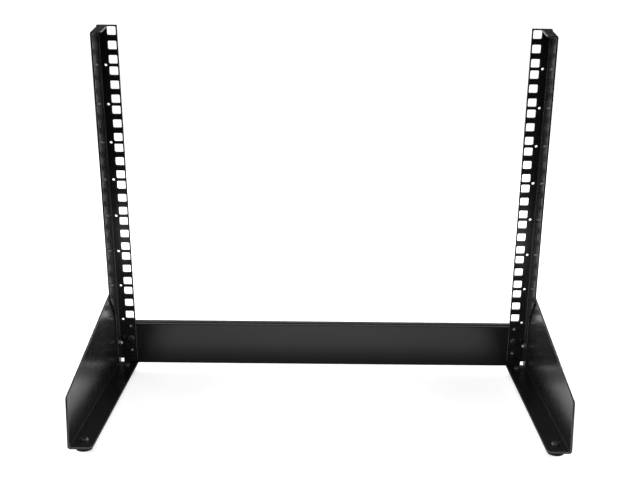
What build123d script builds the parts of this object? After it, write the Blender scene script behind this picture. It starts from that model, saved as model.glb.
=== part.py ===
from build123d import *
from math import cos, radians, sin, tan
import os

# Open desktop rack frame: two leaning hole posts on two angle feet, tied by one crossbar.
# Sizes are in millimetres. Z is up, the floor is Z = 0 and X = 0 is the middle plane.
# The feet run towards -Y, under the equipment, and the posts lean the same way, so the
# faces that the equipment ears are screwed to, the +Y faces, look slightly upwards.

# Rack hole pattern, as on every 19-inch rack
rack_units = 8
unit_height = 44.45
hole_rows = (6.35, 22.225, 38.1)
hole_column_spacing = 465.1
square_hole = 9.5
square_hole_corner = 0.9
index_hole_radius = 1.5
index_hole_inset = 7.5

# Steel sheet that every bent piece is made from
sheet = 2.0
bend_inner_radius = 1.0
bend_outer_radius = bend_inner_radius + sheet

# Posts, measured along and across the leaning post
post_lean = 9.6
post_flange_inner_margin = 6.35
post_flange_outer_margin = 15.95
post_web_depth = 37.0
post_strip_depth = 15.0
post_strip_top = 73.0
post_web_bottom = 102.0
flange_gap_over_plate = 5.2
web_gap_over_plate = 1.3
top_tab_width = 12.0
top_tab_relief = 1.5
top_tab_corner = 2.0

# Feet
foot_reach = 266.0
foot_plate_width = 24.5
foot_rear_height = 105.0
foot_front_height = 54.4
foot_plate_corner = 5.0
foot_side_corner = 3.0
foot_rear_margin = 0.5

# Crossbar, behind the posts and leaning with them
crossbar_end_inset = 5.0
crossbar_height = 55.6
crossbar_depth = 8.0
crossbar_gap_under_units = 5.3
crossbar_drop = 1.0

# Rubber pads and the screws that hold them
pad_radius = 9.25
pad_foot_radius = 8.25
pad_height = 7.5
pad_recess_radius = 4.6
pad_recess_depth = 4.0
pad_screw_radius = 2.6
pad_front_inset = 20.0
pad_rear_inset = 12.0

# Fixing holes
fixing_hole_radius = 2.6
rivet_hole_radius = 1.4
crossbar_rivets_below_units = (8.7, 41.3)
crossbar_screw_below_units = 25.2
foot_screw_from_flange = 7.5
foot_screw_height = 32.0

# Places across the frame
hole_column_x = hole_column_spacing / 2
post_outer_x = hole_column_x + post_flange_outer_margin
post_flange_width = post_flange_outer_margin + post_flange_inner_margin
side_outer_x = post_outer_x + sheet
pad_x = side_outer_x - foot_plate_width / 2
crossbar_length = 2 * (post_outer_x - crossbar_end_inset)

# Heights along the leaning post, from the point where its inner face meets the foot's underside
crossbar_top = crossbar_height - crossbar_drop
units_bottom = crossbar_top + crossbar_gap_under_units
post_top = units_bottom + rack_units * unit_height

# Places along the floor, with the whole depth centred on Y = 0
lean = radians(post_lean)
crossbar_reach = (sheet + crossbar_depth) * cos(lean) + crossbar_drop * sin(lean)
overall_depth = foot_reach + crossbar_reach
foot_front_y = -overall_depth / 2
foot_line_y = foot_front_y + foot_reach
plate_bottom_z = pad_height
plate_top_z = plate_bottom_z + sheet
cut_margin = 10.0
cut_reach = 3 * post_web_depth

# Everything on the posts is drawn upright, with the flange's inner face on Y = 0, then leaned
lean_frame = Location((0, foot_line_y, plate_bottom_z)) * Rotation(post_lean, 0, 0)


def corner_near(face, x, y):
    """The corner of a flat face that lies nearest to a point."""
    return face.vertices().sort_by_distance((x, y, 0))[0]


def angle_section(leg_x, leg_y):
    """Bent angle, outer corner at the origin, legs along +X and -Y."""
    outline = Polyline(
        (0, 0),
        (0, -leg_y),
        (sheet, -leg_y),
        (sheet, -sheet),
        (leg_x, -sheet),
        (leg_x, 0),
        close=True,
    )
    face = make_face(outline)
    face = fillet(corner_near(face, 0, 0), bend_outer_radius)
    return fillet(corner_near(face, sheet, -sheet), bend_inner_radius)


def channel_section(height, depth):
    """Bent channel, web face on X = 0, flanges along +X, lower flange on Y = 0."""
    outline = Polyline(
        (0, 0),
        (depth, 0),
        (depth, sheet),
        (sheet, sheet),
        (sheet, height - sheet),
        (depth, height - sheet),
        (depth, height),
        (0, height),
        close=True,
    )
    face = make_face(outline)
    for outer_y, inner_y in ((0, sheet), (height, height - sheet)):
        face = fillet(corner_near(face, 0, outer_y), bend_outer_radius)
        face = fillet(corner_near(face, sheet, inner_y), bend_inner_radius)
    return face


def through_flange(sketch):
    """A cutter for the flange: a sketch drawn in X and Z, pushed through along Y."""
    return extrude(Plane.XZ * sketch, amount=cut_margin, both=True)


def through_web(sketch):
    """A cutter for the left web and side plate: drawn in Y and Z, pushed through along X."""
    return extrude(Plane.YZ.offset(-post_outer_x) * sketch, amount=cut_margin, both=True)


def square_hole_cutter():
    """All square holes of the left post, three in every rack unit."""
    square = Rectangle(square_hole, square_hole)
    hole = chamfer(square.vertices(), square_hole_corner)
    holes = []
    for unit in range(rack_units):
        for row in hole_rows:
            height = units_bottom + unit * unit_height + row
            holes.append(Location((-hole_column_x, height)) * hole)
    return through_flange(Sketch() + holes)


def index_hole_cutter():
    """The small round holes that mark where one rack unit ends and the next begins."""
    x = -post_outer_x + index_hole_inset
    heights = [units_bottom + unit * unit_height for unit in range(rack_units)]
    hole = Circle(index_hole_radius)
    return through_flange(Sketch() + [Location((x, z)) * hole for z in heights])


def crossbar_fixing_cutter(side):
    """Two rivet holes and one screw hole where a post and the crossbar lie together."""
    x = side * hole_column_x
    rivet = Circle(rivet_hole_radius)
    holes = [Location((x, units_bottom - drop)) * rivet for drop in crossbar_rivets_below_units]
    screw = Circle(fixing_hole_radius)
    holes.append(Location((x, units_bottom - crossbar_screw_below_units)) * screw)
    return through_flange(Sketch() + holes)


def foot_fixing_cutter():
    """The screw hole that a post and its foot share."""
    place = Location((-foot_screw_from_flange, foot_screw_height))
    return through_web(place * Circle(fixing_hole_radius))


def web_notch_cutter():
    """Beside the foot the web slopes back to a strip along the bend."""
    outline = Polyline(
        (-cut_reach, -cut_reach),
        (sheet - post_strip_depth, -cut_reach),
        (sheet - post_strip_depth, post_strip_top),
        (sheet - post_web_depth, post_web_bottom),
        (-cut_reach, post_web_bottom),
        close=True,
    )
    return through_web(make_face(outline))


def add_top_tab(post):
    """Fold the top of the web inwards, as a tab that closes the post's end."""
    tab_front_y = sheet - post_web_depth
    tab_rear_y = sheet - bend_outer_radius - top_tab_relief
    tab_length = tab_rear_y - tab_front_y
    folded_strip = Box(
        sheet + cut_margin,
        tab_length + top_tab_relief,
        bend_outer_radius,
        align=(Align.CENTER, Align.MIN, Align.MAX),
    )
    post -= Location((-post_outer_x + sheet / 2, tab_front_y, post_top)) * folded_strip
    tab = extrude(angle_section(top_tab_width, bend_outer_radius), amount=tab_length)
    # The section's +X leg becomes the tab and its -Y leg joins the web below
    frame = Plane(origin=(-post_outer_x, tab_rear_y, post_top), x_dir=(1, 0, 0), z_dir=(0, -1, 0))
    tab = frame * tab
    tip = tab.edges().filter_by(Axis.Z).sort_by(Axis.X)[-2:]
    return post + fillet(tip, top_tab_corner)


def make_left_post():
    """Hole post: a flange with the hole pattern, a web beside the foot and a folded top."""
    post = extrude(angle_section(post_flange_width, post_web_depth), amount=post_top)
    post = Location((-post_outer_x, sheet, 0)) * post
    post -= square_hole_cutter()
    post -= index_hole_cutter()
    post -= crossbar_fixing_cutter(-1)
    post -= foot_fixing_cutter()
    post -= web_notch_cutter()
    post = lean_frame * add_top_tab(post)
    # Both lower ends are cut level, the web's just above the foot's plate and the flange's higher
    level = Box(cut_reach, cut_reach, cut_reach, align=(Align.MIN, Align.CENTER, Align.MAX))
    web_x = -post_outer_x - cut_margin
    flange_x = -post_outer_x + sheet
    post -= Location((web_x, foot_line_y, plate_top_z + web_gap_over_plate)) * level
    return post - Location((flange_x, foot_line_y, plate_top_z + flange_gap_over_plate)) * level


def foot_side_profile():
    """Side view of a foot: its rear edge leans with the post, its top slopes to the front."""
    rear_y = foot_line_y + (sheet - foot_rear_margin) / cos(lean)
    rear_top_y = rear_y - foot_rear_height * tan(lean)
    outline = Polyline(
        (rear_y, plate_bottom_z),
        (rear_top_y, plate_bottom_z + foot_rear_height),
        (foot_front_y, plate_bottom_z + foot_front_height),
        (foot_front_y, plate_bottom_z),
        close=True,
    )
    face = make_face(outline)
    face = fillet(corner_near(face, rear_top_y, plate_bottom_z + foot_rear_height), foot_side_corner)
    return fillet(corner_near(face, foot_front_y, plate_bottom_z + foot_front_height), foot_side_corner)


def pad_places():
    """Centres of the two pads of the left foot, rear first."""
    return [(-pad_x, foot_line_y - pad_rear_inset), (-pad_x, foot_front_y + pad_front_inset)]


def make_left_foot():
    """Foot: one angle, its side plate upright outside the post and its plate turned in."""
    section = angle_section(foot_rear_height, foot_plate_width)
    bar = extrude(section, amount=overall_depth)
    # The section's +X leg becomes the upright side plate, its -Y leg the bottom plate
    frame = Plane(
        origin=(-side_outer_x, overall_depth / 2, plate_bottom_z),
        x_dir=(0, 0, 1),
        z_dir=(0, -1, 0),
    )
    side_view = Plane.YZ.offset(-side_outer_x - cut_margin) * foot_side_profile()
    foot = frame * bar & extrude(side_view, amount=foot_plate_width + 2 * cut_margin)
    corner = (-side_outer_x + foot_plate_width, foot_front_y, plate_bottom_z)
    uprights = foot.edges().filter_by(Axis.Z)
    foot = fillet(uprights.sort_by_distance(corner)[0], foot_plate_corner)
    foot -= lean_frame * foot_fixing_cutter()
    for x, y in pad_places():
        foot -= Location((x, y, plate_bottom_z)) * Cylinder(pad_screw_radius, cut_margin)
    return foot


def make_crossbar():
    """Crossbar: a channel behind the posts' flanges, its own flanges turned to the back."""
    section = channel_section(crossbar_height, crossbar_depth)
    frame = Plane(
        origin=(-crossbar_length / 2, sheet, -crossbar_drop),
        x_dir=(0, 1, 0),
        z_dir=(1, 0, 0),
    )
    bar = frame * extrude(section, amount=crossbar_length)
    for side in (-1, 1):
        bar -= crossbar_fixing_cutter(side)
    return lean_frame * bar


def make_pad(x, y):
    """Rubber pad: a short taper with a sunk screw seat in its underside."""
    profile = Polyline(
        (pad_screw_radius, pad_height),
        (pad_radius, pad_height),
        (pad_foot_radius, 0),
        (pad_recess_radius, 0),
        (pad_recess_radius, pad_recess_depth),
        (pad_screw_radius, pad_recess_depth),
        close=True,
    )
    return Location((x, y, 0)) * revolve(Plane.XZ * make_face(profile), axis=Axis.Z)


def mirrored(shape):
    """The same piece on the other side of the frame."""
    return mirror(shape, about=Plane.YZ)


def save(shape, node):
    """One file per piece."""
    export_step(shape, f"parts/{node}.step")


def main():
    os.makedirs("parts", exist_ok=True)
    left_post = make_left_post()
    left_foot = make_left_foot()
    save(left_post, "left_post")
    save(mirrored(left_post), "right_post")
    save(left_foot, "left_foot")
    save(mirrored(left_foot), "right_foot")
    save(make_crossbar(), "crossbar")
    for place, (x, y) in zip(("rear", "front"), pad_places()):
        save(make_pad(x, y), f"left_{place}_pad")
        save(make_pad(-x, y), f"right_{place}_pad")


main()
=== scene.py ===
# %% [markdown]
# # An open desktop rack frame in black powder coat
#
# Two posts full of square holes lean over two angle feet, and one crossbar ties them together.
# The solids come ready from the CAD part. This notebook gives them their finish, adds the small
# fasteners that hold the frame together, and lights it like a catalogue picture.

import math
import bmesh
import bpy
from mathutils import Matrix, Vector


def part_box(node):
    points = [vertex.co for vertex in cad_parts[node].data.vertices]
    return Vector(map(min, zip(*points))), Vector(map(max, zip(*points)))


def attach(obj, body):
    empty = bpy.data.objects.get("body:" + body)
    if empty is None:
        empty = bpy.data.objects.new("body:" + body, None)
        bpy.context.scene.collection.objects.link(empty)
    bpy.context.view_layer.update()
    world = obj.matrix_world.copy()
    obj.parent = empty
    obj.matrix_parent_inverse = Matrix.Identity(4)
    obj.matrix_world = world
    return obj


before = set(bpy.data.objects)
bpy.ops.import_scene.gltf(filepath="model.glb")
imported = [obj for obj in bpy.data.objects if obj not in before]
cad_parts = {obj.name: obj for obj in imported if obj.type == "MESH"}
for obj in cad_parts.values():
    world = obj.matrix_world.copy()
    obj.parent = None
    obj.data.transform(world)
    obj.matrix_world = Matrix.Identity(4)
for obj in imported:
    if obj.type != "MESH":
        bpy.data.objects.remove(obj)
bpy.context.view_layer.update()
scene = bpy.context.scene
print("CAD nodes:", sorted(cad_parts))

# %% [markdown]
# ## Where things are on a leaning post
#
# The posts and the crossbar were drawn upright and then leaned, so every screw on them has an
# easy place in the upright drawing: how far across, how far behind the flange's front face, and
# how far along the post. One small function leans such a place, and another leans a direction.
# The start of the lean is found from the foot's own box and its length.

# %% Sizes of the frame, in metres
mm = 0.001
post_lean = math.radians(9.6)
sheet = 2.0 * mm
foot_reach = 266.0 * mm
hole_column_x = 232.55 * mm
units_bottom = 59.9 * mm

foot_low, foot_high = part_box("right_foot")
side_outer_x = foot_high.x
post_outer_x = side_outer_x - sheet
plate_bottom_z = foot_low.z
plate_top_z = plate_bottom_z + sheet
lean_start = Vector((0.0, foot_low.y + foot_reach, plate_bottom_z))
lean_turn = Matrix.Rotation(post_lean, 4, "X")


def on_post(x, behind, along):
    """A place in the upright drawing of the posts, leaned into the frame."""
    return lean_start + lean_turn @ Vector((x, behind, along))


def post_direction(x, behind, along):
    """A direction in the upright drawing of the posts, leaned into the frame."""
    return (lean_turn @ Vector((x, behind, along))).normalized()


print("the lean starts at", [round(v, 4) for v in lean_start])

# %% [markdown]
# ## Black powder coat
#
# Powder coat is paint that is sprayed on as dry dust and baked until it flows. It never flows
# quite flat: it keeps a skin of tiny waves, and it draws back a little from sharp cut edges,
# which therefore look softer and wear paler than the faces. Their pale colour here is partly that
# wear and partly a painted highlight of the lamps on the rounded edges. One image texture could
# show that, but a procedural material stays sharp at any distance and needs no unwrapping.
#
# The waves are two noises in Object coordinates, a coarse one and a fine one, in two Bump nodes,
# one after the other. The edges come from the Bevel node: it rounds the normals near an edge, so
# where its normal and the face's own normal disagree there is an edge, and that difference is a
# mask.

# %% Helpers for node materials
whole_range = (0.0, 1.0)
middle_of_noise = (0.3, 0.7)
upper_part_of_noise = (0.35, 0.7)
rounding_samples = 6
edge_agreement = (1.0, 0.88)


def add(tree, kind, links=None, **settings):
    """One node; links gives what goes into its sockets, settings its own options."""
    node = tree.nodes.new(kind)
    for key, value in settings.items():
        setattr(node, key, value)
    for key, value in (links or {}).items():
        socket = node.inputs[key]
        if isinstance(value, bpy.types.NodeSocket):
            tree.links.new(value, socket)
        else:
            socket.default_value = value
    return node


def new_material(name):
    """An empty node material, with its node tree and its Principled shader."""
    material = bpy.data.materials.new(name)
    material.use_nodes = True
    tree = material.node_tree
    tree.nodes.clear()
    shader = add(tree, "ShaderNodeBsdfPrincipled")
    add(tree, "ShaderNodeOutputMaterial", {"Surface": shader.outputs["BSDF"]})
    return material, tree, shader


def noise(tree, scale, detail=2.0):
    """A noise texture in Object coordinates; scale is in waves per metre."""
    place = add(tree, "ShaderNodeTexCoord").outputs["Object"]
    texture = add(tree, "ShaderNodeTexNoise", {"Vector": place, "Scale": scale, "Detail": detail})
    return texture.outputs["Fac"]


def spread(tree, value, old_range, new_range):
    """Stretches a value from one range to another and keeps it inside the new one."""
    node = add(tree, "ShaderNodeMapRange", {"Value": value})
    sockets = ("From Min", "From Max", "To Min", "To Max")
    for socket, number in zip(sockets, (*old_range, *new_range)):
        node.inputs[socket].default_value = number
    return node.outputs["Result"]


def mixed_colour(tree, factor, first, second):
    """A colour that goes from first to second as factor goes from 0 to 1."""
    node = add(tree, "ShaderNodeMix", {"Factor": factor}, data_type="RGBA")
    for socket, colour in (("A", first), ("B", second)):
        target = [s for s in node.inputs if s.name == socket and s.type == "RGBA"][0]
        if isinstance(colour, bpy.types.NodeSocket):
            tree.links.new(colour, target)
        else:
            target.default_value = (*colour, 1.0)
    return [s for s in node.outputs if s.type == "RGBA"][0]


def math_node(tree, operation, first, second):
    """One sum on two values, each a socket or a number."""
    return add(tree, "ShaderNodeMath", {0: first, 1: second}, operation=operation).outputs[0]


def times(tree, value, factor):
    """A value multiplied by a number or by another value."""
    return math_node(tree, "MULTIPLY", value, factor)


def rounded_normal(tree, radius):
    """The normal that the piece would have if its edges were rounded."""
    return add(tree, "ShaderNodeBevel", {"Radius": radius}, samples=rounding_samples).outputs["Normal"]


def edge_mask(tree, soft_normal):
    """0 on a face and up to 1 at its edges."""
    own_normal = add(tree, "ShaderNodeNewGeometry").outputs["Normal"]
    agree = add(tree, "ShaderNodeVectorMath", {0: own_normal, 1: soft_normal}, operation="DOT_PRODUCT")
    return spread(tree, agree.outputs["Value"], edge_agreement, whole_range)


def bump(tree, height, distance, strength, normal):
    """A Bump node on top of a normal; distance is the real height of the waves in metres."""
    sockets = {"Height": height, "Distance": distance, "Strength": strength, "Normal": normal}
    return add(tree, "ShaderNodeBump", sockets).outputs["Normal"]


def connect(tree, shader, colour, roughness, normal):
    """Gives a shader its colour, its roughness and its normal."""
    tree.links.new(colour, shader.inputs["Base Color"])
    tree.links.new(roughness, shader.inputs["Roughness"])
    tree.links.new(normal, shader.inputs["Normal"])


def dress(names, material):
    """Gives CAD nodes a material in place of their own."""
    for name in names:
        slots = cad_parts[name].data.materials
        slots.clear()
        slots.append(material)
    print(material.name, "on", len(names), "CAD nodes,", len(material.node_tree.nodes), "shader nodes")


# %% The powder coat itself
coat_black = (0.0052, 0.0050, 0.0050)
coat_dusty = (0.0085, 0.0082, 0.0080)
# The pale edge colour is partly wear and partly a painted highlight of the lamps on the rounded edges.
coat_worn_and_highlit_edge = (0.15, 0.148, 0.145)
coat_edge_radius = 0.85 * mm
coat_roughness = (0.21, 0.27)
wear_and_highlight_part_of_noise = (0.3, 0.6)
wear_and_highlight_amount = (0.5, 1.0)

# The noises from wide to fine, in waves per metre
coat_dust_scale = 14.0
coat_gloss_scale = 60.0
coat_wear_and_highlight_scale = 90.0
coat_wave_scale = 420.0
coat_grain_scale = 1900.0

# The height of waves and grain, and how much of it shows
coat_wave_height = 0.05 * mm
coat_wave_strength = 0.08
coat_grain_height = 0.015 * mm
coat_grain_strength = 0.18


def powder_coat(name):
    """Satin black paint with fine waves, and cut edges painted paler, partly as wear and partly as a
    highlight.
    """
    material, tree, shader = new_material(name)
    soft_normal = rounded_normal(tree, coat_edge_radius)
    dust = spread(tree, noise(tree, coat_dust_scale, detail=4.0), upper_part_of_noise, whole_range)
    faces = mixed_colour(tree, dust, coat_black, coat_dusty)
    # Painted highlight and wear: a noise sets how far each edge is mixed towards the pale edge colour.
    wear_and_highlight = spread(tree, noise(tree, coat_wear_and_highlight_scale), wear_and_highlight_part_of_noise, wear_and_highlight_amount)
    worn_and_highlit_edges = times(tree, edge_mask(tree, soft_normal), wear_and_highlight)
    colour = mixed_colour(tree, worn_and_highlit_edges, faces, coat_worn_and_highlit_edge)
    gloss = spread(tree, noise(tree, coat_gloss_scale, detail=3.0), middle_of_noise, coat_roughness)
    waves = bump(tree, noise(tree, coat_wave_scale), coat_wave_height, coat_wave_strength, soft_normal)
    grain = bump(tree, noise(tree, coat_grain_scale), coat_grain_height, coat_grain_strength, waves)
    connect(tree, shader, colour, gloss, grain)
    return material


dress(("left_post", "right_post", "crossbar", "left_foot", "right_foot"), powder_coat("powder_coat_black"))

# %% [markdown]
# ## Rubber pads
#
# The pads are moulded from black rubber. Rubber is matt because its skin is full of tiny pits,
# so it gets a high roughness, a fine bump, and a touch of pale bloom in patches. It shares the
# helpers with the powder coat, but one noise is enough for its skin and its edges stay dark.

# %% Rubber for the four pads
rubber_black = (0.0075, 0.0073, 0.0072)
rubber_bloom = (0.020, 0.0195, 0.019)
rubber_edge_radius = 0.6 * mm
rubber_roughness = (0.62, 0.8)
rubber_specular = 0.4
bloom_part_of_noise = (0.4, 0.75)
rubber_bloom_scale = 220.0
rubber_gloss_scale = 400.0
rubber_pit_scale = 2400.0
rubber_pit_height = 0.03 * mm
rubber_pit_strength = 0.5


def moulded_rubber(name):
    """Matt black rubber with a pitted skin."""
    material, tree, shader = new_material(name)
    soft_normal = rounded_normal(tree, rubber_edge_radius)
    bloom = spread(tree, noise(tree, rubber_bloom_scale, detail=3.0), bloom_part_of_noise, whole_range)
    colour = mixed_colour(tree, bloom, rubber_black, rubber_bloom)
    gloss = spread(tree, noise(tree, rubber_gloss_scale), middle_of_noise, rubber_roughness)
    pits = bump(tree, noise(tree, rubber_pit_scale), rubber_pit_height, rubber_pit_strength, soft_normal)
    connect(tree, shader, colour, gloss, pits)
    shader.inputs["Specular IOR Level"].default_value = rubber_specular
    return material


pads = [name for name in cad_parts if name.endswith("_pad")]
dress(pads, moulded_rubber("moulded_rubber"))

# %% [markdown]
# ## Two steels for the fasteners
#
# The screws and nuts are blackened, so they differ from the painted sheet only a little: oiled
# oxide is thinner than powder and shows finer patches. The core of a blind rivet and the end of a
# screw are bare zinc, and they are the only bright metal on the whole frame. Bare metal needs
# Metallic at 1 and then takes its colour from what it mirrors. One function makes both, and a
# noise in Object coordinates varies colour and gloss a little from place to place.

# %% Black oxide and bright zinc
oxide_black = (0.012, 0.012, 0.013)
oxide_pale = (0.026, 0.025, 0.025)
oxide_roughness = (0.25, 0.4)
zinc_grey = (0.55, 0.55, 0.56)
zinc_pale = (0.72, 0.72, 0.72)
zinc_roughness = (0.22, 0.36)
steel_edge_radius = 0.25 * mm
steel_patch_scale = 500.0
steel_gloss_scale = 900.0
steel_grain_scale = 3000.0
steel_grain_height = 0.01 * mm
steel_grain_strength = 0.4


def turned_steel(name, dark, pale, roughness, metallic):
    """Steel with a slightly uneven gloss and softened edges."""
    material, tree, shader = new_material(name)
    soft_normal = rounded_normal(tree, steel_edge_radius)
    patches = spread(tree, noise(tree, steel_patch_scale, detail=3.0), upper_part_of_noise, whole_range)
    colour = mixed_colour(tree, patches, dark, pale)
    gloss = spread(tree, noise(tree, steel_gloss_scale), middle_of_noise, roughness)
    grain_noise = noise(tree, steel_grain_scale)
    grain = bump(tree, grain_noise, steel_grain_height, steel_grain_strength, soft_normal)
    connect(tree, shader, colour, gloss, grain)
    shader.inputs["Metallic"].default_value = metallic
    return material


black_oxide = turned_steel("black_oxide", oxide_black, oxide_pale, oxide_roughness, metallic=0.0)
bright_zinc = turned_steel("bright_zinc", zinc_grey, zinc_pale, zinc_roughness, metallic=1.0)
print("steels:", black_oxide.name, bright_zinc.name)

# %% [markdown]
# ## Fasteners with Geometry Nodes
#
# A fastener is a small turned body that repeats. Geometry Nodes suit it: the body is made once,
# from a few named sizes, and then put on every point of a small mesh. Each point carries one
# attribute, the direction that its fastener looks in.
#
# A turned body is built from the bottom up. A filled circle is extruded by a step, and the new
# top is scaled, and that is repeated. A few steps that get lower and draw in more give a dome.
# The trees end in Realize Instances and Set Material, because an exported model has no instances.

# %% Helpers that build a node tree in script
merge_distance = 0.001 * mm
pin_sides = 20


def new_tree(name, inputs):
    """A geometry node tree with the usual in and out, and named inputs with their start values."""
    tree = bpy.data.node_groups.new(name, "GeometryNodeTree")
    tree.is_modifier = True
    tree.interface.new_socket("Geometry", in_out="INPUT", socket_type="NodeSocketGeometry")
    for label, kind, value in inputs:
        socket = tree.interface.new_socket(label, in_out="INPUT", socket_type=kind)
        if value is not None:
            socket.default_value = value
    tree.interface.new_socket("Geometry", in_out="OUTPUT", socket_type="NodeSocketGeometry")
    return tree, tree.nodes.new("NodeGroupInput"), tree.nodes.new("NodeGroupOutput")


def joined(tree, parts):
    """Several meshes in one."""
    node = add(tree, "GeometryNodeJoinGeometry")
    for part in parts:
        tree.links.new(part, node.inputs["Geometry"])
    return node.outputs["Geometry"]


def disc(tree, sides, radius):
    """A filled circle that faces up."""
    circle = add(tree, "GeometryNodeMeshCircle", {"Vertices": sides, "Radius": radius}, fill_type="NGON")
    return circle.outputs["Mesh"]


def raised(tree, mesh, top, height, ratio):
    """Extrudes the top of a turned body by a height, then scales the new top by a ratio."""
    step = add(
        tree,
        "GeometryNodeExtrudeMesh",
        {"Mesh": mesh, "Selection": top, "Offset Scale": height, "Individual": False},
        mode="FACES",
    )
    scaled = add(
        tree,
        "GeometryNodeScaleElements",
        {"Geometry": step.outputs["Mesh"], "Selection": step.outputs["Top"], "Scale": ratio},
        domain="FACE",
    )
    return scaled.outputs["Geometry"], step.outputs["Top"]


def turned(tree, sides, radius, steps):
    """A closed body, turned or milled: a filled circle raised step by step, over a seat."""
    mesh = disc(tree, sides, radius)
    top = True
    for height, ratio in steps:
        mesh, top = raised(tree, mesh, top, height, ratio)
    seat = add(tree, "GeometryNodeFlipFaces", {"Mesh": disc(tree, sides, radius)}).outputs["Mesh"]
    whole = joined(tree, [mesh, seat])
    merged = add(tree, "GeometryNodeMergeByDistance", {"Geometry": whole, "Distance": merge_distance})
    return merged.outputs[0]


def parts_of(tree, height, profile):
    """Steps for a turned body whose profile gives each step as a part of one height."""
    return [(times(tree, height, part), ratio) for part, ratio in profile]


def lifted(tree, mesh, height):
    """A mesh moved up its own axis."""
    offset = add(tree, "ShaderNodeCombineXYZ", {"Z": height}).outputs[0]
    return add(tree, "GeometryNodeTransform", {"Geometry": mesh, "Translation": offset}).outputs[0]


def plain_pin(tree, diameter, length):
    """A cylinder that hangs down from the seat."""
    sizes = {"Vertices": pin_sides, "Radius": times(tree, diameter, 0.5), "Depth": length}
    body = add(tree, "GeometryNodeMeshCylinder", sizes).outputs["Mesh"]
    return lifted(tree, body, times(tree, length, -0.5))


print("helpers ready")

# %% [markdown]
# ### From a body to a row of fasteners
#
# All three trees below end the same way, so that ending is one function: put the body on the
# points, point it where the point says, turn it about its own axis by a random amount, because
# nobody tightens two screws to the same angle, make the copies real, and paint them. The seed is
# an input and fixed, so every run gives the same turns. Faces marked "bare" get the second steel.

# %% The shared ending of every fastener tree
smooth_under = math.radians(32)
fastener_inputs = [
    ("Paint", "NodeSocketMaterial", None),
    ("Bare metal", "NodeSocketMaterial", None),
    ("Turn seed", "NodeSocketInt", 7),
]


def marked_bare(tree, mesh):
    """Marks all faces of a mesh as bare metal."""
    return add(
        tree,
        "GeometryNodeStoreNamedAttribute",
        {"Geometry": mesh, "Name": "bare", "Value": True},
        data_type="BOOLEAN",
        domain="FACE",
    ).outputs["Geometry"]


def random_turn(tree, seed):
    """A turn about a fastener's own axis, different for each point."""
    chance = add(tree, "FunctionNodeRandomValue", {"Seed": seed}, data_type="FLOAT")
    angle = times(tree, chance.outputs[1], 2 * math.pi)
    return add(tree, "FunctionNodeAxisAngleToRotation", {"Axis": (0, 0, 1), "Angle": angle}).outputs[0]


def smoothed(tree, geometry):
    """Smooth faces, with sharp edges kept where two faces meet at a clear angle."""
    edge_angle = add(tree, "GeometryNodeInputMeshEdgeAngle").outputs[0]
    soft_edge = math_node(tree, "LESS_THAN", edge_angle, smooth_under)
    for domain, smooth in (("FACE", True), ("EDGE", soft_edge)):
        sockets = {"Geometry": geometry, "Shade Smooth": smooth}
        geometry = add(tree, "GeometryNodeSetShadeSmooth", sockets, domain=domain).outputs[0]
    return geometry


def finish_tree(tree, entry, leave, body):
    """Puts a body on every point, turned to its direction, then makes it real and paints it."""
    looks = add(tree, "GeometryNodeInputNamedAttribute", {"Name": "looks"}, data_type="FLOAT_VECTOR")
    aim = add(tree, "FunctionNodeAlignRotationToVector", {"Vector": looks.outputs["Attribute"]}, axis="Z")
    turn = add(
        tree,
        "FunctionNodeRotateRotation",
        {"Rotation": aim.outputs[0], "Rotate By": random_turn(tree, entry.outputs["Turn seed"])},
        rotation_space="LOCAL",
    )
    copies = add(
        tree,
        "GeometryNodeInstanceOnPoints",
        {"Points": entry.outputs["Geometry"], "Instance": body, "Rotation": turn.outputs[0]},
    )
    real = add(tree, "GeometryNodeRealizeInstances", {"Geometry": copies.outputs[0]})
    painted = add(
        tree,
        "GeometryNodeSetMaterial",
        {"Geometry": smoothed(tree, real.outputs[0]), "Material": entry.outputs["Paint"]},
    )
    bare = add(tree, "GeometryNodeInputNamedAttribute", {"Name": "bare"}, data_type="BOOLEAN")
    finished = add(
        tree,
        "GeometryNodeSetMaterial",
        {
            "Geometry": painted.outputs[0],
            "Selection": bare.outputs["Attribute"],
            "Material": entry.outputs["Bare metal"],
        },
    )
    tree.links.new(finished.outputs[0], leave.inputs[0])
    return tree


# %% [markdown]
# ### A pan-head screw with a cross recess
#
# The head is a dome in five steps. The cross is two thin blocks that a Mesh Boolean takes out of
# the dome, where a punch presses it into the real screw. The shank is a plain pin: it is inside
# the sheets, so a thread on it would never be seen.

# %% The screw tree
head_sides = 32
head_profile = [(0.28, 1.0), (0.28, 0.955), (0.22, 0.90), (0.14, 0.83), (0.08, 0.74)]
cross_thinness = 0.26


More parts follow.
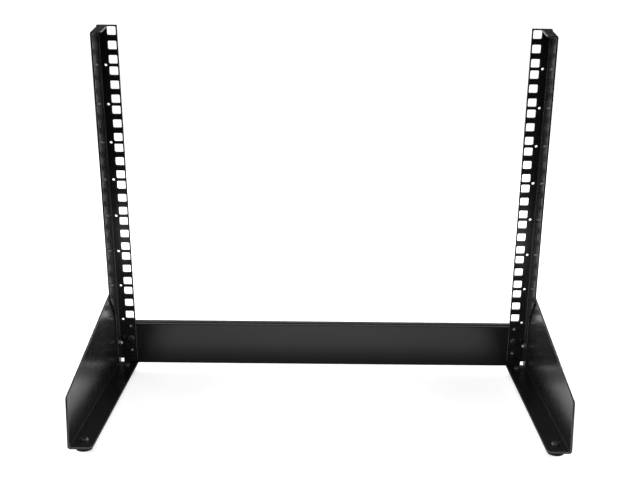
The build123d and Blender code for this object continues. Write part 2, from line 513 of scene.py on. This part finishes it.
def screw_tree():
    """Pan-head screws: a dome with a cross recess, on a pin that goes through the sheets."""
    tree, entry, leave = new_tree("pan_head_screws", [
        ("Head diameter", "NodeSocketFloat", 8.5 * mm),
        ("Head height", "NodeSocketFloat", 2.6 * mm),
        ("Recess width", "NodeSocketFloat", 4.2 * mm),
        ("Recess depth", "NodeSocketFloat", 1.6 * mm),
        ("Shank diameter", "NodeSocketFloat", 4.0 * mm),
        ("Shank length", "NodeSocketFloat", 6.0 * mm),
        *fastener_inputs,
    ])
    size = entry.outputs
    radius = times(tree, size["Head diameter"], 0.5)
    dome = turned(tree, head_sides, radius, parts_of(tree, size["Head height"], head_profile))
    wide = size["Recess width"]
    thin = times(tree, wide, cross_thinness)
    tall = times(tree, size["Recess depth"], 2.0)
    punched = add(tree, "GeometryNodeMeshBoolean", {"Mesh 1": dome}, operation="DIFFERENCE", solver="EXACT")
    for across, along in ((wide, thin), (thin, wide)):
        block_size = add(tree, "ShaderNodeCombineXYZ", {"X": across, "Y": along, "Z": tall}).outputs[0]
        block = add(tree, "GeometryNodeMeshCube", {"Size": block_size}).outputs["Mesh"]
        tree.links.new(lifted(tree, block, size["Head height"]), punched.inputs["Mesh 2"])
    shank = plain_pin(tree, size["Shank diameter"], size["Shank length"])
    return finish_tree(tree, entry, leave, joined(tree, [punched.outputs["Mesh"], shank]))


# %% [markdown]
# ### A hexagon nut with the end of its screw
#
# A nut is the same turned body with six sides and a small bevel on top. The end of the screw
# stands out of it by a turn or two of thread, cut as narrow rings, which look like a thread at
# this size and need no helix. It is the bare part, because a nut scrapes the black off.

# %% The nut tree
nut_profile = [(0.86, 1.0), (0.14, 0.93)]
thread_groove = 0.86
thread_tip = 0.8


def nut_tree():
    """Hexagon nuts, each with the threaded end of a screw in it."""
    tree, entry, leave = new_tree("hexagon_nuts", [
        ("Width across flats", "NodeSocketFloat", 7.0 * mm),
        ("Nut height", "NodeSocketFloat", 3.0 * mm),
        ("Thread diameter", "NodeSocketFloat", 4.0 * mm),
        ("Thread pitch", "NodeSocketFloat", 0.7 * mm),
        *fastener_inputs,
    ])
    size = entry.outputs
    radius = times(tree, size["Width across flats"], 1 / math.sqrt(3))
    nut = turned(tree, 6, radius, parts_of(tree, size["Nut height"], nut_profile))
    thread_radius = times(tree, size["Thread diameter"], 0.5)
    crest = times(tree, size["Thread pitch"], 0.5)
    one_turn = [(crest, thread_groove), (crest, 1 / thread_groove)]
    rings = [(size["Nut height"], 1.0)] + one_turn * 2 + [(crest, thread_tip)]
    end = turned(tree, pin_sides, thread_radius, rings)
    return finish_tree(tree, entry, leave, joined(tree, [nut, marked_bare(tree, end)]))


# %% [markdown]
# ### A blind rivet
#
# A blind rivet is set from one side: a steel core is pulled until the far end swells and the
# core snaps off. What stays in view is a low dome with the broken core in its middle, a dot of
# bare metal that catches the light. These dots are the bright specks by the crossbar's ends.

# %% The rivet tree
rivet_sides = 28
rivet_profile = [(0.30, 1.0), (0.35, 0.92), (0.22, 0.84), (0.13, 0.72)]
core_profile = [(0.8, 1.0), (0.12, 0.86), (0.08, 0.7)]


def rivet_tree():
    """Blind rivets: a low dome with its core in the middle."""
    tree, entry, leave = new_tree("blind_rivets", [
        ("Dome diameter", "NodeSocketFloat", 5.0 * mm),
        ("Dome height", "NodeSocketFloat", 1.0 * mm),
        ("Core diameter", "NodeSocketFloat", 2.4 * mm),
        ("Core height", "NodeSocketFloat", 1.4 * mm),
        ("Body diameter", "NodeSocketFloat", 3.0 * mm),
        ("Body length", "NodeSocketFloat", 5.5 * mm),
        *fastener_inputs,
    ])
    size = entry.outputs
    radius = times(tree, size["Dome diameter"], 0.5)
    dome = turned(tree, rivet_sides, radius, parts_of(tree, size["Dome height"], rivet_profile))
    core_radius = times(tree, size["Core diameter"], 0.5)
    core = turned(tree, pin_sides, core_radius, parts_of(tree, size["Core height"], core_profile))
    tail = plain_pin(tree, size["Body diameter"], size["Body length"])
    return finish_tree(tree, entry, leave, joined(tree, [dome, marked_bare(tree, core), tail]))


# %% [markdown]
# ### Planting the fasteners
#
# The points that carry the fasteners are a mesh of loose vertices. The modifier's inputs have
# hidden identifiers, and a value has to be set by that identifier, not by the name that the
# panel shows. After the first evaluation the result is copied into a plain mesh, and the
# carrier with its modifier is removed.

# %% Helpers that plant one kind of fastener
def placed(name, data):
    """An object in the scene for a mesh, a lamp or a camera."""
    thing = bpy.data.objects.new(name, data)
    scene.collection.objects.link(thing)
    return thing


def planted(name, tree, places, **sizes):
    """A plain mesh of fasteners; places holds (position, direction) and sizes the tree's inputs."""
    points = bpy.data.meshes.new(name + "_points")
    points.from_pydata([position for position, direction in places], [], [])
    looks = points.attributes.new("looks", "FLOAT_VECTOR", "POINT")
    for index, (position, direction) in enumerate(places):
        looks.data[index].vector = direction
    carrier = placed(name + "_carrier", points)
    modifier = carrier.modifiers.new("fasteners", "NODES")
    modifier.node_group = tree
    sizes.setdefault("Paint", black_oxide)
    sizes.setdefault("Bare_metal", bright_zinc)
    wanted = {key.replace("_", " "): value for key, value in sizes.items()}
    for item in tree.interface.items_tree:
        if item.in_out == "INPUT" and item.name in wanted:
            modifier[item.identifier] = wanted.pop(item.name)
    assert not wanted, f"{name}: the tree has no input {sorted(wanted)}"
    bpy.context.view_layer.update()
    ready = carrier.evaluated_get(bpy.context.evaluated_depsgraph_get())
    mesh = bpy.data.meshes.new_from_object(ready)
    mesh.name = name
    piece = placed(name, mesh)
    bpy.data.objects.remove(carrier)
    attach(piece, "root")
    print(f"{name}: {len(places)} fasteners, {len(mesh.polygons)} faces")


def both_sides(places):
    """The same places on the left and on the right of the frame."""
    result = []
    for position, direction in places:
        for side in (-1, 1):
            result.append((
                (side * position[0], position[1], position[2]),
                (side * direction[0], direction[1], direction[2]),
            ))
    return result


# %% Rivets and screws that hold the crossbar
rivets_below_units = (8.7 * mm, 41.3 * mm)
bar_screw_below_units = 25.2 * mm
bar_screw_head = 8.0 * mm
towards_front = post_direction(0, -1, 0)
towards_back = post_direction(0, 1, 0)

rivets = rivet_tree()
screws = screw_tree()
nuts = nut_tree()
rivet_places = [on_post(hole_column_x, 0, units_bottom - drop) for drop in rivets_below_units]
screw_place = on_post(hole_column_x, 0, units_bottom - bar_screw_below_units)
nut_place = on_post(hole_column_x, 2 * sheet, units_bottom - bar_screw_below_units)
planted("crossbar_rivets", rivets, both_sides([(place, towards_front) for place in rivet_places]))
planted(
    "crossbar_screws",
    screws,
    both_sides([(screw_place, towards_front)]),
    Head_diameter=bar_screw_head,
    Shank_length=2 * sheet,
)
planted("crossbar_nuts", nuts, both_sides([(nut_place, towards_back)]))

# %% Screws that hold the posts to the feet
foot_screw_behind = -7.5 * mm
foot_screw_height = 32.0 * mm
foot_screw_head = 9.0 * mm
heads = [(on_post(side_outer_x, foot_screw_behind, foot_screw_height), (1, 0, 0))]
ends = [(on_post(post_outer_x - sheet, foot_screw_behind, foot_screw_height), (-1, 0, 0))]
planted("foot_screws", screws, both_sides(heads), Head_diameter=foot_screw_head, Shank_length=2 * sheet)
planted("foot_nuts", nuts, both_sides(ends))

# %% Screws that hold the rubber pads
pad_recess_top_z = 4.0 * mm
pad_screw_head = 9.0 * mm
pad_nut_height = 2.2 * mm
pad_thread_pitch = 0.4 * mm
pad_tops = []
pad_seats = []
for name in pads:
    low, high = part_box(name)
    if low.x > 0:
        middle = (low + high) / 2
        pad_tops.append(((middle.x, middle.y, plate_top_z), (0, 0, 1)))
        pad_seats.append(((middle.x, middle.y, pad_recess_top_z), (0, 0, -1)))
planted(
    "pad_screws",
    screws,
    both_sides(pad_tops),
    Head_diameter=pad_screw_head,
    Shank_length=plate_top_z - pad_recess_top_z,
)
planted("pad_nuts", nuts, both_sides(pad_seats), Nut_height=pad_nut_height, Thread_pitch=pad_thread_pitch)

# %% [markdown]
# ## Floor, backdrop and light
#
# Black satin paint has hardly any colour of its own. Almost all that shows on it is a blurred
# mirror image of the room, so the room is laid out from what each face of the frame mirrors:
#
# - The crossbar and the posts' flanges look at the camera and lean over towards it, so they
#   mirror the floor in front of them. The crossbar is grey because the white floor is there. The
#   flanges are nearly black because further out, past the feet, the white floor has ended.
# - The feet's side plates are seen at a grazing angle and mirror the floor between the feet,
#   pale at their front, and their own dark bottom plates along the bend.
# - The lids on the posts mirror what stands low behind the frame, so the backdrop is low and the
#   room over it is dim. The narrow top of the crossbar mirrors a place higher up, and there
#   hangs the lamp behind.
#
# The floor and the backdrop are one curved sheet, so no line shows where one ends. Light Path
# tells who looks at the sheet. To the camera it glows towards white, the more so the further it
# is from the frame. In mirror images it glows in front of the frame, hardly at all just behind
# it, and again further back. For the soft light on the object it is an ordinary pale surface.
# Where the sheet comes close to the frame, Ambient Occlusion darkens it for all but the camera:
# that is the contact shade, and in the mirror images it draws the dark band along the
# crossbar's lower edge.

# %% The material of the sweep
floor_pale = (0.75, 0.75, 0.75)
floor_shaded = (0.12, 0.12, 0.12)
contact_reach = 55 * mm
contact_depth = 5.0
contact_samples = 8

# What the camera sees, by the distance from the frame's middle in metres
seen_fade = (0.35, 0.9)
seen_glow = (0.58, 1.0)

# What the mirror images show, by the place along Y in metres
front_fade = (0.12, 0.25)
front_glow = (0.55, 0.05)
back_rise = (0.6, 4.0)
back_glow = (0.0, 0.8)


def sweep_material():
    """A pale matt surface that looks white to the camera and glows in mirror images."""
    material, tree, shader = new_material("white_sweep")
    place = add(tree, "ShaderNodeTexCoord").outputs["Object"]
    path = add(tree, "ShaderNodeLightPath").outputs
    contact = add(tree, "ShaderNodeAmbientOcclusion", {"Distance": contact_reach}, samples=contact_samples)
    shaded = math_node(tree, "POWER", contact.outputs["AO"], contact_depth)
    distance = add(tree, "ShaderNodeVectorMath", {0: place}, operation="LENGTH").outputs["Value"]
    to_camera = times(tree, path["Is Camera Ray"], spread(tree, distance, seen_fade, seen_glow))
    along = add(tree, "ShaderNodeSeparateXYZ", {0: place}).outputs["Y"]
    front_part = spread(tree, along, front_fade, front_glow)
    back_part = spread(tree, along, back_rise, back_glow)
    mirror_glow = times(tree, shaded, math_node(tree, "ADD", front_part, back_part))
    mirrored = math_node(tree, "MAXIMUM", path["Is Glossy Ray"], path["Is Transmission Ray"])
    glow = math_node(tree, "ADD", to_camera, times(tree, mirrored, mirror_glow))
    open_floor = math_node(tree, "MAXIMUM", shaded, path["Is Camera Ray"])
    tree.links.new(mixed_colour(tree, open_floor, floor_shaded, floor_pale), shader.inputs["Base Color"])
    tree.links.new(glow, shader.inputs["Emission Strength"])
    shader.inputs["Emission Color"].default_value = (1.0, 1.0, 1.0, 1.0)
    shader.inputs["Roughness"].default_value = 1.0
    shader.inputs["Specular IOR Level"].default_value = 0.0
    return material


# %% The sheet of the sweep
sweep_half_width = 6.0
sweep_front = -0.25
sweep_back = 5.0
sweep_height = 0.8
sweep_bend = 0.5
sweep_bend_steps = 16


def sweep_mesh(name):
    """A floor that turns up into a backdrop on a quarter circle."""
    bend_start = sweep_back - sweep_bend
    profile = [(sweep_front, 0.0), (bend_start, 0.0)]
    for step in range(1, sweep_bend_steps + 1):
        turn = step / sweep_bend_steps * math.pi / 2
        profile.append((bend_start + sweep_bend * math.sin(turn), sweep_bend - sweep_bend * math.cos(turn)))
    profile.append((sweep_back, sweep_height))
    mesh = bpy.data.meshes.new(name)
    form = bmesh.new()
    sides = (-sweep_half_width, sweep_half_width)
    left_row, right_row = [[form.verts.new((x, y, z)) for y, z in profile] for x in sides]
    for left, right, next_left, next_right in zip(left_row, right_row, left_row[1:], right_row[1:]):
        form.faces.new((left, right, next_right, next_left))
    form.to_mesh(mesh)
    form.free()
    mesh.polygons.foreach_set("use_smooth", [True] * len(mesh.polygons))
    return mesh


sweep = placed("sweep", sweep_mesh("sweep"))
sweep.data.materials.append(sweep_material())
print("the sweep has", len(sweep.data.polygons), "faces")

# %% [markdown]
# There are four kinds of soft lamp. The large one in front lights the frame from the camera's
# side, so that the paint's own black shows, and the pale edge colour, partly wear and partly a
# painted highlight. The wide one, far behind and above the backdrop, draws the bright line on the
# crossbar's top. Two stand behind the frame on either side, and two straight beside it, and their
# light grazes the webs and the rounded edges.

# %% Lamps and a dim room
def soft_lamp(name, place, aim, size, power):
    """A rectangular softbox that looks at a point."""
    light = bpy.data.lights.new(name, "AREA")
    light.shape = "RECTANGLE"
    light.size, light.size_y = size
    light.energy = power
    lamp = placed(name, light)
    lamp.location = place
    lamp.rotation_euler = (Vector(aim) - Vector(place)).to_track_quat("-Z", "Y").to_euler()


soft_lamp("lamp_behind", place=(0.0, 7.4, 5.6), aim=(0.0, 0.1, 0.1), size=(8.4, 1.8), power=44.0)
soft_lamp("lamp_front", place=(-0.4, -2.4, 2.6), aim=(0.0, 0.0, 0.2), size=(3.0, 2.0), power=60.0)
for side in (-1, 1):
    soft_lamp(
        f"lamp_beside_{side + 1}",
        place=(side * 1.7, 1.5, 0.55),
        aim=(0.0, 0.0, 0.35),
        size=(0.9, 0.8),
        power=44.0,
    )
    soft_lamp(
        f"lamp_edge_{side + 1}",
        place=(side * 1.9, -0.2, 0.9),
        aim=(0.0, 0.0, 0.4),
        size=(1.6, 1.2),
        power=34.0,
    )

room_dim = 0.015


def room_world():
    """A dim room that only the camera sees as white."""
    world = bpy.data.worlds.new("dim_room")
    world.use_nodes = True
    tree = world.node_tree
    background = tree.nodes["Background"]
    background.inputs["Color"].default_value = (1.0, 1.0, 1.0, 1.0)
    camera_ray = add(tree, "ShaderNodeLightPath").outputs["Is Camera Ray"]
    tree.links.new(spread(tree, camera_ray, whole_range, (room_dim, 1.0)), background.inputs["Strength"])
    return world


scene.world = room_world()

# %% [markdown]
# ## The camera
#
# The camera takes the photograph's view. Its place was found by fitting the 48 square holes,
# which lie on a known pattern. It stands 1.3 m in front of the posts and a little above their
# tops, looks 12 degrees down, and leans by half a degree.

# %% Camera at the photograph's place
camera_from_lean_start = Vector((8.0, -1284.9, 436.5)) * mm
camera_pitch = math.radians(12.26)
camera_yaw = math.radians(0.01)
camera_roll = math.radians(0.54)
focal_in_pixels = 1096.7
picture_width = 640
crop_offset = 10
sensor_width_mm = 36.0

camera_data = bpy.data.cameras.new("camera")
camera_data.sensor_width = sensor_width_mm
camera_data.lens = focal_in_pixels * sensor_width_mm / picture_width
camera_data.shift_x = -crop_offset / picture_width
camera_data.clip_start = 50 * mm
camera = placed("camera", camera_data)
camera.location = lean_start + camera_from_lean_start
forward = Vector((
    math.sin(camera_yaw) * math.cos(camera_pitch),
    math.cos(camera_yaw) * math.cos(camera_pitch),
    -math.sin(camera_pitch),
))
level = forward.to_track_quat("-Z", "Y").to_matrix().to_4x4()
camera.rotation_euler = (Matrix.Rotation(camera_roll, 4, -forward) @ level).to_euler()
scene.camera = camera
scene.view_settings.view_transform = "Standard"
print("camera lens", round(camera_data.lens, 2), "mm at", [round(v, 3) for v in camera.location])
